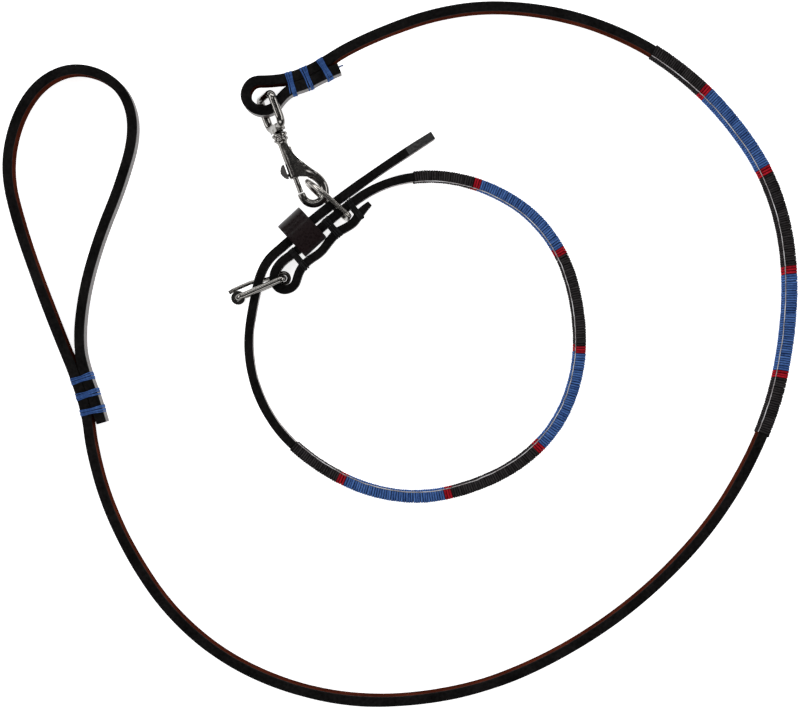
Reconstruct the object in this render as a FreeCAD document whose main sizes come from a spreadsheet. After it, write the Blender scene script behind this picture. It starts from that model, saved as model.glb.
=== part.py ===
import FreeCAD, Part
import math
import os

import Sketcher
from FreeCAD import Placement, Rotation, Vector

# A flat leather lead that lies on its edge in an open C, with a hand loop at one end and a swivel bolt
# snap at the other, clipped to the D-ring of its matching buckled collar.
# Millimetres, +Z up, origin on the floor under the middle of the whole set.

os.makedirs("parts", exist_ok=True)
doc = FreeCAD.newDocument("leather_lead")
X_AXIS = Vector(1, 0, 0)
Y_AXIS = Vector(0, 1, 0)
Z_AXIS = Vector(0, 0, 1)

# ---------------------------------------------------------------- driving sizes

SIZES = {
    # straps
    "strap_width": (16.0, "width of both straps, which stands upright"),
    "lead_thickness": (5.0, "leather thickness of the lead"),
    "collar_thickness": (4.4, "leather thickness of the collar"),
    # thread
    "wrap_thickness": (0.7, "one layer of whipping thread"),
    "wrap_clearance": (0.02, "gap between a whipping and the strap"),
    "stitch_thickness": (0.7, "one layer of stitch thread"),
    "stitch_clearance": (0.05, "gap between a stitch band and the straps"),
    "stitch_band": (3.0, "length of a stitch band along the strap"),
    # snap
    "eye_wire_radius": (1.9, "round section of the swivel eye"),
    "eye_half_span": (10.85, "middle of the eye to the middle of a limb"),
    "eye_roll": (-19.0, "roll of the eye about the snap's axis, degrees"),
    "stem_radius": (1.25, "swivel stem"),
    "stem_head_radius": (1.7, "riveted head of the stem"),
    "swivel_clearance": (0.1, "radial play of the stem and its head"),
    "barrel_radius": (2.75, "outside of the snap's barrel"),
    "hook_wire_radius": (2.15, "round section of the hook"),
    "bowl_radius": (5.85, "middle line of the hook's bowl"),
    "web_thickness": (3.2, "web between the barrel and the hook"),
    "bolt_radius": (1.35, "sliding bolt"),
    "bolt_clearance": (0.1, "radial play of the bolt in its bore"),
    "bolt_length": (12.5, "sliding bolt, end to end"),
    "bolt_travel": (7.6, "slide of the bolt from shut to open"),
    "stud_shank_radius": (0.75, "shank of the thumb stud"),
    "stud_thickness": (4.0, "thumb stud, across the snap"),
    "spring_wire_radius": (0.2, "wire of the bolt's spring"),
    "spring_radius": (1.05, "middle line of the spring's coils"),
    "spring_length": (11.45, "spring, with the bolt shut"),
    "spring_pitch": (1.6, "one turn of the spring"),
    # ring
    "ring_wire_radius": (1.25, "wire of the D-ring"),
    "ring_half_span": (10.1, "middle of the D-ring to the middle of a side"),
    "ring_length": (27.4, "bar to the top of the D, middle lines"),
    "ring_lean": (5.0, "lean of the D-ring about its length, degrees"),
    # buckle
    "buckle_wire_radius": (1.6, "wire of the buckle frame"),
    "buckle_half_span": (10.3, "middle of the frame to the middle of a side bar"),
    "buckle_length": (24.5, "bar to roller, middle lines"),
    "roller_radius": (3.5, "outside of the roller"),
    "roller_clearance": (0.1, "radial play of the roller on its bar"),
    "roller_length": (15.8, "roller, end to end"),
    "tongue_wire_radius": (1.0, "wire of the tongue"),
    "tongue_eye_radius": (2.75, "middle line of the tongue's eye"),
    # keeper
    "keeper_thickness": (2.0, "leather of the keeper"),
    "keeper_width": (14.5, "keeper, along the strap"),
    "keeper_height": (20.8, "keeper, outside, across the strap's width"),
    "keeper_depth": (20.6, "keeper, outside, through the layers"),
    "keeper_dome_radius": (8.6, "outside round of the keeper's free side"),
    "keeper_fold_radius": (2.6, "outside round of the keeper's strap side"),
    # holes
    "tail_hole_radius": (1.7, "punched hole in the collar's tail"),
    "tongue_slot_height": (4.6, "slot for the tongue at the buckle fold"),
    # how the collar lies
    "collar_lift": (2.79, "bottom edge of the collar's strap above the floor, over the origin"),
    "collar_tilt": (1.16, "tilt of the collar, which its buckle props up, degrees"),
    "snap_height": (12.6, "snap's axis above the floor"),
}

sheet = doc.addObject("Spreadsheet::Sheet", "Sizes")
for row, (alias, (number, meaning)) in enumerate(SIZES.items(), start=1):
    sheet.set(f"A{row}", alias)
    sheet.set(f"B{row}", str(number))
    sheet.setAlias(f"B{row}", alias)
    sheet.set(f"C{row}", meaning)
doc.recompute()


def size(alias):
    """A driving size, read from the sheet."""
    return float(sheet.get(alias))


def bind(item, **expressions):
    """Bind properties of an object to the sheet; a bare alias is enough."""
    for prop, text in expressions.items():
        item.setExpression(prop, text.replace("$", "Sizes."))


# ---------------------------------------------------------------- where the straps run

# Middle line of the lead's bottom edge (x, y, height), from the folded end by the snap, round the snap
# loop, over the big C and round the hand loop to its folded end.
LEAD_ROUTE = [
    (-29.5, 143.0, 4.6), (-38.0, 139.5, 4.6), (-46.0, 135.0, 4.6), (-53.0, 133.0, 4.6),
    (-58.4, 129.0, 4.6), (-63.0, 122.0, 4.6), (-72.0, 122.0, 4.6), (-77.5, 129.0, 4.6),
    (-73.5, 137.0, 4.6), (-65.0, 137.0, 4.6), (-56.0, 138.0, 4.6), (-47.0, 141.0, 4.5),
    (-39.0, 145.0, 4.3), (-25.0, 154.0, 3.7), (-5.0, 163.0, 3.0), (18.0, 171.0, 2.3),
    (44.0, 175.0, 1.7), (72.5, 173.0, 1.2), (99.0, 166.5, 0.9), (126.5, 154.0, 0.8),
    (151.0, 135.5, 0.8), (170.0, 114.5, 0.8), (185.0, 91.5, 0.8), (194.0, 65.0, 0.8),
    (197.0, 36.5, 0.8), (195.0, 7.0, 0.8), (189.0, -23.5, 0.8), (176.0, -55.0, 0.8),
    (157.5, -85.0, 0.5), (134.0, -111.0, 0.3), (108.0, -133.0, 0.1), (77.5, -152.0, 0.0),
    (45.0, -166.0, 0.0), (11.5, -173.0, 0.0), (-23.0, -174.0, 0.0), (-57.5, -166.5, 0.0),
    (-89.0, -151.5, 0.0), (-115.0, -129.0, 0.1), (-134.0, -101.0, 0.3), (-147.0, -73.0, 0.6),
    (-154.0, -47.0, 0.8), (-156.0, -29.5, 0.8), (-161.5, -11.5, 0.8), (-169.5, 8.0, 0.7),
    (-180.0, 35.0, 0.5), (-190.5, 65.0, 0.2), (-197.0, 91.5, 0.1), (-193.0, 116.0, 0.0),
    (-182.0, 135.0, 0.0), (-166.0, 144.0, 0.0), (-149.0, 141.5, 0.0), (-136.0, 130.5, 0.0),
    (-132.0, 111.5, 0.0), (-139.5, 85.0, 0.1), (-150.5, 58.0, 0.3), (-158.0, 31.0, 0.6),
    (-160.5, 5.5, 0.8), (-156.5, -10.5, 0.8), (-151.9, -22.4, 0.8), (-148.5, -34.0, 0.8),
]

# Middle line of the collar's strap (x, y) in the collar's own plane: tail tip, through the keeper and
# the buckle, round the neck, back through the D-ring and the keeper, round the buckle's bar, folded end.
COLLAR_ROUTE = [
    (17.0, 110.0), (-1.0, 98.5), (-22.0, 84.0), (-42.0, 69.0), (-55.5, 56.5), (-68.0, 46.0),
    (-72.5, 27.5), (-76.0, 5.5), (-72.0, -17.5), (-60.0, -39.0), (-40.0, -56.0), (-16.0, -68.0),
    (10.0, -72.0), (35.0, -67.0), (60.0, -55.5), (80.0, -36.0), (90.5, -9.0), (91.0, 19.0),
    (84.0, 48.0), (68.0, 70.5), (46.0, 84.0), (23.0, 90.0), (3.0, 89.0), (-14.0, 83.0),
    (-28.0, 73.0), (-40.0, 63.0), (-51.0, 52.0), (-59.5, 46.5), (-63.5, 38.5), (-59.5, 32.0),
    (-52.0, 34.0), (-50.0, 42.0), (-46.0, 47.0), (-39.0, 51.3), (-35.2, 56.6), (-31.2, 61.4),
    (-26.8, 63.6), (-22.5, 66.2), (-19.8, 70.6), (-17.3, 73.4), (-14.5, 75.9),
]

ARC_SHARE = 0.45  # share of the shorter run that an arc uses on each side of its point


def rounded_route(points, name):
    """Edges of a route: straight runs joined by tangent arcs, each as large as its two runs allow."""
    edges = []
    radii = []
    last = points[0]
    for before, corner, after in zip(points, points[1:], points[2:]):
        way_in = (corner - before).normalize()
        way_out = (after - corner).normalize()
        turn = way_in.getAngle(way_out)
        reach = ARC_SHARE * min((corner - before).Length, (after - corner).Length)
        radius = reach / math.tan(turn / 2)
        inward = (way_out - way_in).normalize()
        middle = corner + inward * (math.hypot(radius, reach) - radius)
        start = corner - way_in * reach
        end = corner + way_out * reach
        edges.append(Part.LineSegment(last, start).toShape())
        edges.append(Part.Arc(start, middle, end).toShape())
        radii.append(radius)
        last = end
    edges.append(Part.LineSegment(last, points[-1]).toShape())
    length = sum(edge.Length for edge in edges)
    print(f"{name}: {length:.0f} mm long, radii {' '.join(f'{r:.0f}' for r in radii)}")
    return edges


def along(edges, distance):
    """Point and direction at a distance along a route."""
    for edge in edges:
        if distance <= edge.Length:
            where = edge.getParameterByLength(distance)
            return edge.valueAt(where), edge.tangentAt(where)
        distance -= edge.Length
    return edges[-1].valueAt(edges[-1].LastParameter), edges[-1].tangentAt(edges[-1].LastParameter)


def stretch(edges, start, end):
    """The part of a route between two distances."""
    shortest = 0.01
    pieces = []
    passed = 0.0
    for edge in edges:
        low = max(start - passed, 0.0)
        high = min(end - passed, edge.Length)
        if high - low > shortest:
            first = edge.getParameterByLength(low)
            last = edge.getParameterByLength(high)
            pieces.append(edge.Curve.toShape(first, last))
        passed += edge.Length
    return pieces


def sideways(direction):
    """Level unit vector to the left of a direction."""
    return Z_AXIS.cross(direction).normalize()


def swept_bar(edges, left, right, bottom, top):
    """Upright rectangular section swept along a route; left and right are distances from its line."""
    start = edges[0].valueAt(edges[0].FirstParameter)
    side = sideways(edges[0].tangentAt(edges[0].FirstParameter))
    corners = [
        start + side * left + Z_AXIS * bottom,
        start - side * right + Z_AXIS * bottom,
        start - side * right + Z_AXIS * top,
        start + side * left + Z_AXIS * top,
    ]
    sweep = Part.BRepOffsetAPI.MakePipeShell(Part.Wire(edges))
    sweep.setBiNormalMode(Z_AXIS)
    sweep.add(Part.makePolygon(corners + corners[:1]), False, False)
    sweep.build()
    sweep.makeSolid()
    return sweep.shape()


def feature(name, shape, placement=None):
    """A sub-part whose shape comes from a route."""
    item = doc.addObject("Part::Feature", name)
    item.Label = name
    item.Shape = shape
    if placement is not None:
        item.Placement = placement
    return item


nodes = []

lead_edges = rounded_route([Vector(*point) for point in LEAD_ROUTE], "lead")
collar_edges = rounded_route([Vector(x, y, 0) for x, y in COLLAR_ROUTE], "collar")
lead_length = sum(edge.Length for edge in lead_edges)
collar_length = sum(edge.Length for edge in collar_edges)

# The collar lies in its own plane, tilted because the buckle props up its upper left.
tilt_axis = Vector(0.6, 0.8, 0.0)
collar_frame = Placement(Vector(0, 0, size("collar_lift")), Rotation(tilt_axis, size("collar_tilt")))

# ---------------------------------------------------------------- straps

strap_width = size("strap_width")
lead_half = size("lead_thickness") / 2
collar_half = size("collar_thickness") / 2

lead_shape = swept_bar(lead_edges, lead_half, lead_half, 0.0, strap_width)
print(f"lead strap: swept {lead_shape.Volume:.0f} mm3,"
      f" section times length {lead_length * 2 * lead_half * strap_width:.0f} mm3")
nodes.append(feature("lead_strap", lead_shape))

collar_shape = swept_bar(collar_edges, collar_half, collar_half, 0.0, strap_width)
print(f"collar strap: swept {collar_shape.Volume:.0f} mm3,"
      f" section times length {collar_length * 2 * collar_half * strap_width:.0f} mm3")

# Punched holes in the tail: one for the tongue, the others each side of it.
BUCKLE_AT = Vector(-57.75, 38.5, 0)     # middle of the buckle's bar
BUCKLE_TURN = 203.5                     # direction from the bar to the roller
TONGUE_HOLE_AT = 115.2                  # distance of the tongue's hole from the tail's tip
HOLE_SPACING = 20.0
HOLE_STEPS = (-3, -2, -1, 1, 2)
hole_radius = size("tail_hole_radius")
drill_reach = 4.0
mid_width = strap_width / 2
for step in HOLE_STEPS:
    centre, direction = along(collar_edges, TONGUE_HOLE_AT + step * HOLE_SPACING)
    side = sideways(direction)
    drill = Part.makeCylinder(hole_radius, 2 * drill_reach,
                              centre + Z_AXIS * mid_width - side * drill_reach, side)
    collar_shape = collar_shape.cut(drill)

# The tongue's own hole is drawn out to a slot along the strap, square to the strap's face.
TONGUE_HOLE_LENGTH = 7.6
tongue_hole_height = 2 * hole_radius
centre, direction = along(collar_edges, TONGUE_HOLE_AT)
slot = Part.makeBox(TONGUE_HOLE_LENGTH, 2 * drill_reach, tongue_hole_height)
slot.Placement = Placement(
    centre + Z_AXIS * (mid_width - tongue_hole_height / 2),
    Rotation(X_AXIS, direction)
).multiply(Placement(Vector(-TONGUE_HOLE_LENGTH / 2, -drill_reach, 0), Rotation()))
collar_shape = collar_shape.cut(slot)

# Slot in the buckle fold, which the tongue and its eye pass through.
slot_height = size("tongue_slot_height")
FOLD_SLOT_RADIUS = 9.5
fold_slot = Part.makeCylinder(FOLD_SLOT_RADIUS, slot_height,
                              BUCKLE_AT + Z_AXIS * (mid_width - slot_height / 2))
fold_part = swept_bar(stretch(collar_edges, collar_length - 92.0, collar_length - 58.0),
                      collar_half + 1.0, collar_half + 1.0, 0.0, strap_width)
collar_shape = collar_shape.cut(fold_slot.common(fold_part))
nodes.append(feature("collar_strap", collar_shape, collar_frame))

# ---------------------------------------------------------------- thread whippings

LEAD_WRAPS = [  # name, distances along the lead from the folded end by the snap
    ("lead_wrap_black_1", 277.5, 308.3),
    ("lead_wrap_red_1", 308.3, 312.3),
    ("lead_wrap_blue_1", 312.3, 358.8),
    ("lead_wrap_red_2", 358.8, 362.8),
    ("lead_wrap_black_2", 362.8, 410.3),
    ("lead_wrap_red_3", 410.3, 414.4),
    ("lead_wrap_blue_2", 414.4, 463.0),
    ("lead_wrap_red_4", 463.0, 466.8),
    ("lead_wrap_black_3", 466.8, 496.0),
]
COLLAR_WRAPS = [  # name, distances along the collar from the tail's tip
    ("collar_wrap_black_1", 204.6, 232.0),
    ("collar_wrap_red_1", 232.0, 236.0),
    ("collar_wrap_blue_1", 236.0, 287.0),
    ("collar_wrap_red_2", 287.0, 290.9),
    ("collar_wrap_black_2", 290.9, 338.5),
    ("collar_wrap_red_3", 338.5, 342.4),
    ("collar_wrap_blue_2", 342.4, 393.0),
    ("collar_wrap_red_4", 393.0, 396.8),
    ("collar_wrap_black_3", 396.8, 443.4),
    ("collar_wrap_red_5", 443.4, 447.2),
    ("collar_wrap_blue_3", 447.2, 498.8),
    ("collar_wrap_red_6", 498.8, 502.4),
    ("collar_wrap_black_4", 502.4, 532.4),
]


def whipping(edges, start, end, half_thickness):
    """Close turns of thread round one strap, as a thin tube of the same length."""
    skin = size("wrap_thickness")
    gap = size("wrap_clearance")
    part = stretch(edges, start, end)
    outer = half_thickness + skin
    inner = half_thickness + gap
    body = swept_bar(part, outer, outer, -skin, strap_width + skin)
    return body.cut(swept_bar(part, inner, inner, -gap, strap_width + gap))


for name, start, end in LEAD_WRAPS:
    nodes.append(feature(name, whipping(lead_edges, start, end, lead_half)))
for name, start, end in COLLAR_WRAPS:
    nodes.append(feature(name, whipping(collar_edges, start, end, collar_half), collar_frame))

# ---------------------------------------------------------------- stitch bands round two layers

LEAD_STITCHES = [  # name, distance of the band from the strap's nearer end
    ("snap_stitch_1", 6.1),
    ("snap_stitch_2", 16.8),
    ("snap_stitch_3", 25.4),
    ("handle_stitch_1", 24.1),
    ("handle_stitch_2", 15.8),
    ("handle_stitch_3", 7.0),
]
COLLAR_STITCHES = [  # name, distance of the band before the collar's folded end
    ("collar_stitch_buckle", 46.2),
    ("collar_stitch_ring_1", 22.2),
    ("collar_stitch_ring_2", 8.0),
]
SNAP_LAYER = (60.0, 130.0)      # where the lead passes its end beside the snap
HANDLE_LAYER = (930.0, 1040.0)  # where the lead passes its end in the hand loop
MAIN_LAYER = (520.0, 612.0)     # where the collar passes its own folded end
SEARCH_STEP = 0.25
BEND_ALLOWANCE = 0.12           # extra room on the bent side of a stitch band


def nearest_layer(edges, start, end, point):
    """Point and direction where another stretch of the same strap passes closest to a point."""
    steps = int((end - start) / SEARCH_STEP)
    places = [along(edges, start + step * SEARCH_STEP) for step in range(steps + 1)]
    return min(places, key=lambda place: (place[0] - point).Length)


def stitch_band(edges, distance, layer, half_thickness):
    """Thread laid round two layers side by side, as a thin square loop across them."""
    skin = size("stitch_thickness")
    gap = size("stitch_clearance")
    half_band = size("stitch_band") / 2
    first, first_way = along(edges, distance)
    second, _ = nearest_layer(edges, *layer, first)
    base = min(first.z, second.z)
    height = abs(first.z - second.z) + strap_width
    across = Vector(second.x - first.x, second.y - first.y, 0)
    spread = across.Length
    forward = across.cross(Z_AXIS).normalize()
    lean = math.asin(min(1.0, abs(first_way.dot(across) / spread)))
    near_half = spread / 2 + half_thickness / math.cos(lean) + half_band * math.tan(lean) + BEND_ALLOWANCE
    far_half = spread / 2 + half_thickness
    centre = Vector((first.x + second.x) / 2, (first.y + second.y) / 2, base)
    line = [Part.LineSegment(centre - forward * half_band, centre + forward * half_band).toShape()]
    outer = swept_bar(line, far_half + skin, near_half + skin, -skin, height + skin)
    inner = swept_bar(line, far_half + gap, near_half + gap, -gap, height + gap)
    return outer.cut(inner)


for name, distance in LEAD_STITCHES:
    if name.startswith("snap"):
        band = stitch_band(lead_edges, distance, SNAP_LAYER, lead_half)
    else:
        band = stitch_band(lead_edges, lead_length - distance, HANDLE_LAYER, lead_half)
    nodes.append(feature(name, band))
for name, distance in COLLAR_STITCHES:
    band = stitch_band(collar_edges, collar_length - distance, MAIN_LAYER, collar_half)
    nodes.append(feature(name, band, collar_frame))

# ---------------------------------------------------------------- helpers for modelled hardware


def new_body(name, placement):
    body = doc.addObject("PartDesign::Body", name)
    body.Label = name
    body.Placement = placement
    return body


def new_sketch(body, name, role, offset=0.0):
    """Empty sketch on one of the body's own origin planes."""
    sketch = body.newObject("Sketcher::SketchObject", name)
    plane = next(item for item in body.Origin.OriginFeatures if item.Role == role)
    sketch.AttachmentSupport = [(plane, "")]
    sketch.MapMode = "FlatFace"
    sketch.AttachmentOffset = Placement(Vector(0, 0, offset), Rotation())
    return sketch


def origin_axis(body, role):
    return next(item for item in body.Origin.OriginFeatures if item.Role == role)


def draw_outline(sketch, points):
    """Closed outline of straight lines through the points."""
    corners = [Vector(x, y, 0) for x, y in points]
    for start, end in zip(corners, corners[1:] + corners[:1]):
        sketch.addGeometry(Part.LineSegment(start, end), False)
    count = len(corners)
    for index in range(count):
        sketch.addConstraint(Sketcher.Constraint("Coincident", index, 2, (index + 1) % count, 1))


def draw_disc(sketch, centre, alias):
    """Circle whose radius is bound to the sheet."""
    sketch.addGeometry(Part.Circle(Vector(centre[0], centre[1], 0), Z_AXIS, size(alias)), False)
    sketch.addConstraint(Sketcher.Constraint("Radius", 0, size(alias)))
    sketch.setExpression("Constraints[0]", f"Sizes.{alias}")


def arc_through(start, middle, end):
    return Part.Arc(*(Vector(x, y, 0) for x, y in (start, middle, end)))


def line_to(start, end):
    return Part.LineSegment(Vector(start[0], start[1], 0), Vector(end[0], end[1], 0))


def pipe(body, name, profile, spine):
    item = body.newObject("PartDesign::AdditivePipe", name)
    item.Profile = profile
    item.Spine = (spine, [f"Edge{number + 1}" for number in range(len(spine.Geometry))])
    return item


def revolved(body, kind, name, profile):
    item = body.newObject(kind, name)
    item.Profile = profile
    item.ReferenceAxis = (origin_axis(body, "X_Axis"), [""])
    item.Angle = 360
    return item


def quarter(centre, radius, start_degrees, end_degrees):
    """Arc about a centre from one direction to another."""
    points = []
    for share in (0.0, 0.5, 1.0):
        angle = math.radians(start_degrees + share * (end_degrees - start_degrees))
        points.append((centre[0] + radius * math.cos(angle), centre[1] + radius * math.sin(angle)))
    return arc_through(*points)


def round_corner_loop(length, half_span, near_radius, far_radius):
    """Closed loop from x = 0 to length, half_span each side, starting in the middle of x = 0."""
    return [
        line_to((0, 0), (0, half_span - near_radius)),
        quarter((near_radius, half_span - near_radius), near_radius, 180, 90),
        line_to((near_radius, half_span), (length - far_radius, half_span)),
        quarter((length - far_radius, half_span - far_radius), far_radius, 90, 0),
        line_to((length, half_span - far_radius), (length, far_radius - half_span)),
        quarter((length - far_radius, far_radius - half_span), far_radius, 0, -90),
        line_to((length - far_radius, -half_span), (near_radius, -half_span)),
        quarter((near_radius, near_radius - half_span), near_radius, 270, 180),
        line_to((0, near_radius - half_span), (0, 0)),
    ]


def rounded_line(points, radius):
    """Open line with equal tangent arcs at its corners."""
    pieces = []
    last = points[0]
    for before, corner, after in zip(points, points[1:], points[2:]):
        way_in = Vector(corner[0] - before[0], corner[1] - before[1], 0).normalize()
        way_out = Vector(after[0] - corner[0], after[1] - corner[1], 0).normalize()
        reach = radius * math.tan(way_in.getAngle(way_out) / 2)
        inward = (way_out - way_in).normalize() * (math.hypot(radius, reach) - radius)
        start = (corner[0] - way_in.x * reach, corner[1] - way_in.y * reach)
        end = (corner[0] + way_out.x * reach, corner[1] + way_out.y * reach)
        pieces.append(line_to(last, start))
        pieces.append(arc_through(start, (corner[0] + inward.x, corner[1] + inward.y), end))
        last = end
    pieces.append(line_to(last, points[-1]))
    return pieces


def wire_loop(body, name, pieces, radius_alias, start):
    """Round wire bent to a closed path in the body's upright plane."""
    path = new_sketch(body, f"{name}_path", "XZ_Plane")
    for piece in pieces:
        path.addGeometry(piece, False)
    section = new_sketch(body, f"{name}_section", "XY_Plane")
    draw_disc(section, start, radius_alias)
    return pipe(body, f"{name}_wire", section, path)


# ---------------------------------------------------------------- snap

SNAP_TURN = -69.5                       # direction of the snap's axis, from the eye to the hook
SNAP_AT = Vector(-59.2, 108.9, 0)       # where the swivel's flange crosses the axis
snap_frame = Placement(SNAP_AT + Z_AXIS * size("snap_height"), Rotation(Z_AXIS, SNAP_TURN))
eye_frame = snap_frame.multiply(Placement(Vector(), Rotation(X_AXIS, size("eye_roll"))))

EYE_FAR = -22.0         # crossbar in the strap's loop
EYE_NEAR = -5.4         # crossbar that carries the stem
EYE_BAR_ROUND = 3.2
FLANGE_TOP = -2.4
FLANGE_END = 2.6
BARREL_END = 21.6
BORE_START = 5.4
PIN_CHAMBER = (2.4, 4.3)

# Swivel eye: a round-section loop with a stem that turns in the snap.
eye = new_body("swivel_eye", eye_frame)
eye_length = EYE_NEAR - EYE_FAR
eye_loop = round_corner_loop(eye_length, size("eye_half_span"), EYE_BAR_ROUND, EYE_BAR_ROUND + 1.0)
path = new_sketch(eye, "eye_path", "XZ_Plane")
for piece in eye_loop:
    piece.translate(Vector(EYE_FAR, 0, 0))
    path.addGeometry(piece, False)
section = new_sketch(eye, "eye_section", "XY_Plane")
draw_disc(section, (EYE_FAR, 0), "eye_wire_radius")
pipe(eye, "eye_wire", section, path)

NECK_RADIUS = 2.85      # the eye's base, above the flange
stem_profile = new_sketch(eye, "stem_profile", "XY_Plane")
draw_outline(stem_profile, [
    (EYE_NEAR - 0.6, 0),
    (EYE_NEAR - 0.6, NECK_RADIUS - 0.8),
    (EYE_NEAR + 1.0, NECK_RADIUS),
    (FLANGE_TOP - 0.5, NECK_RADIUS),
    (FLANGE_TOP - 0.1, NECK_RADIUS - 0.4),
    (FLANGE_TOP - 0.1, size("stem_radius")),
    (PIN_CHAMBER[0] + 0.15, size("stem_radius")),
    (PIN_CHAMBER[0] + 0.15, size("stem_head_radius")),
    (PIN_CHAMBER[1] - 0.4, size("stem_head_radius") - 0.2),
    (PIN_CHAMBER[1] - 0.2, 0),
])
revolved(eye, "PartDesign::Revolution", "stem", stem_profile)
nodes.append(eye)

# Snap body: flange, barrel, web and hook in one casting.
snap = new_body("snap_body", snap_frame)
barrel_radius = size("barrel_radius")
barrel_profile = new_sketch(snap, "barrel_profile", "XY_Plane")
draw_outline(barrel_profile, [
    (FLANGE_TOP, 0), (FLANGE_TOP, 3.3), (-1.8, 4.0), (-0.7, 4.0), (-0.2, 3.3), (0.2, 3.3),
    (0.8, 3.8), (1.6, 3.8), (FLANGE_END, barrel_radius), (BARREL_END - 0.4, barrel_radius),
    (BARREL_END, barrel_radius - 0.4), (BARREL_END, 0),
])
revolved(snap, "PartDesign::Revolution", "barrel", barrel_profile)

bowl_radius = size("bowl_radius")
BOWL_AT = (31.3, bowl_radius)
HOOK_START = (9.0, 1.2)
HOOK_TIP = 29.7
LIMB_RADIUS = 17.0                      # outward swing of the hook's limb, before it turns back

# The limb swings out on one arc and back on a second one that meets it without a corner.
run = BOWL_AT[0] - HOOK_START[0]
limb_centre = (HOOK_START[0], HOOK_START[1] + LIMB_RADIUS)
drop = limb_centre[1] - 2 * bowl_radius
back_radius = (run ** 2 + drop ** 2 - LIMB_RADIUS ** 2) / (2 * (LIMB_RADIUS - drop))
back_centre = (BOWL_AT[0], 2 * bowl_radius - back_radius)
meet = math.degrees(math.atan2(drop + back_radius, run))
hook_path = new_sketch(snap, "hook_path", "XY_Plane")
for piece in (
    quarter(limb_centre, LIMB_RADIUS, -90, -meet),
    quarter(back_centre, back_radius, 180 - meet, 90),
    quarter(BOWL_AT, bowl_radius, 90, -90),
    line_to((BOWL_AT[0], 0), (HOOK_TIP, 0)),
):
    hook_path.addGeometry(piece, False)
hook_section = new_sketch(snap, "hook_section", "YZ_Plane", HOOK_START[0])
draw_disc(hook_section, (HOOK_START[1], 0), "hook_wire_radius")
pipe(snap, "hook", hook_section, hook_path)

web_outline = new_sketch(snap, "web_outline", "XY_Plane")
draw_outline(web_outline, [
    (6.5, 0), (11.0, 1.6), (17.0, 4.2), (21.0, 7.0), (24.4, 9.8), (23.2, 7.2), (22.3, 4.6),
    (BARREL_END, 2.4), (BARREL_END, 0),
])
web = snap.newObject("PartDesign::Pad", "web")
web.Profile = web_outline
web.Midplane = True
bind(web, Length="$web_thickness")

bore_radius = size("bolt_radius") + size("bolt_clearance")
bore_profile = new_sketch(snap, "bore_profile", "XY_Plane")
draw_outline(bore_profile, [
    (BORE_START, 0), (BORE_START, bore_radius), (BARREL_END + 2.0, bore_radius), (BARREL_END + 2.0, 0),
])
revolved(snap, "PartDesign::Groove", "bolt_bore", bore_profile)

stem_bore = size("stem_radius") + size("swivel_clearance")
head_bore = size("stem_head_radius") + size("swivel_clearance")
chamber_profile = new_sketch(snap, "chamber_profile", "XY_Plane")
draw_outline(chamber_profile, [
    (FLANGE_TOP - 0.5, 0), (FLANGE_TOP - 0.5, stem_bore), (PIN_CHAMBER[0], stem_bore),
    (PIN_CHAMBER[0], head_bore), (PIN_CHAMBER[1], head_bore), (PIN_CHAMBER[1], 0),
])
revolved(snap, "PartDesign::Groove", "swivel_chamber", chamber_profile)

STUD_AT = 19.2                          # thumb stud's shank along the axis, bolt shut
slot_side = size("stud_shank_radius") + 0.15
slot_outline = new_sketch(snap, "stud_slot_outline", "XY_Plane")
draw_outline(slot_outline, [
    (STUD_AT - size("bolt_travel") - slot_side, -0.8),
    (STUD_AT + slot_side, -0.8),
    (STUD_AT + slot_side, -barrel_radius - 1.0),
    (STUD_AT - size("bolt_travel") - slot_side, -barrel_radius - 1.0),
])
stud_slot = snap.newObject("PartDesign::Pocket", "stud_slot")
stud_slot.Profile = slot_outline
stud_slot.Midplane = True
stud_slot.Length = 2 * slot_side
nodes.append(snap)

# Bolt: a plain round pin, drilled across for the stud's shank.
BOLT_END = 29.45
SHANK_DEPTH = 1.0
bolt_pin = doc.addObject("Part::Cylinder", "bolt_pin")
bind(bolt_pin, Radius="$bolt_radius", Height="$bolt_length")
bolt_pin.Placement = Placement(Vector(BOLT_END - size("bolt_length"), 0, 0), Rotation(Z_AXIS, X_AXIS))
shank_hole = doc.addObject("Part::Cylinder", "shank_hole")
bind(shank_hole, Radius="$stud_shank_radius", Height="$bolt_radius")
shank_hole.Placement = Placement(Vector(STUD_AT, -SHANK_DEPTH, 0), Rotation(Z_AXIS, Y_AXIS * -1))
bolt = doc.addObject("Part::Cut", "snap_bolt")
bolt.Label = "snap_bolt"
bolt.Base = bolt_pin
bolt.Tool = shank_hole
bolt.Placement = snap_frame
nodes.append(bolt)

# Thumb stud: a half-round pad on a shank.
stud = new_body("bolt_stud", snap_frame)
STUD_FOOT = -3.1                        # underside of the pad, just clear of the barrel
STUD_CROWN = -6.2
shank = new_sketch(stud, "shank_outline", "XZ_Plane", -STUD_FOOT + 0.6)
draw_disc(shank, (STUD_AT, 0), "stud_shank_radius")
shank_pad = stud.newObject("PartDesign::Pad", "shank")
shank_pad.Profile = shank
shank_pad.Reversed = True
shank_pad.Length = -STUD_FOOT + 0.6 - SHANK_DEPTH
pad_outline = new_sketch(stud, "thumb_outline", "XY_Plane")
for piece in (
    arc_through((13.4, STUD_FOOT - 0.9), (15.9, STUD_CROWN), (20.4, STUD_FOOT - 1.4)),
    line_to((20.4, STUD_FOOT - 1.4), (20.9, STUD_FOOT)),
    line_to((20.9, STUD_FOOT), (13.4, STUD_FOOT)),
    line_to((13.4, STUD_FOOT), (13.4, STUD_FOOT - 0.9)),
):
    pad_outline.addGeometry(piece, False)
thumb = stud.newObject("PartDesign::Pad", "thumb_pad")
thumb.Profile = pad_outline
thumb.Midplane = True
bind(thumb, Length="$stud_thickness")
nodes.append(stud)

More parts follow.
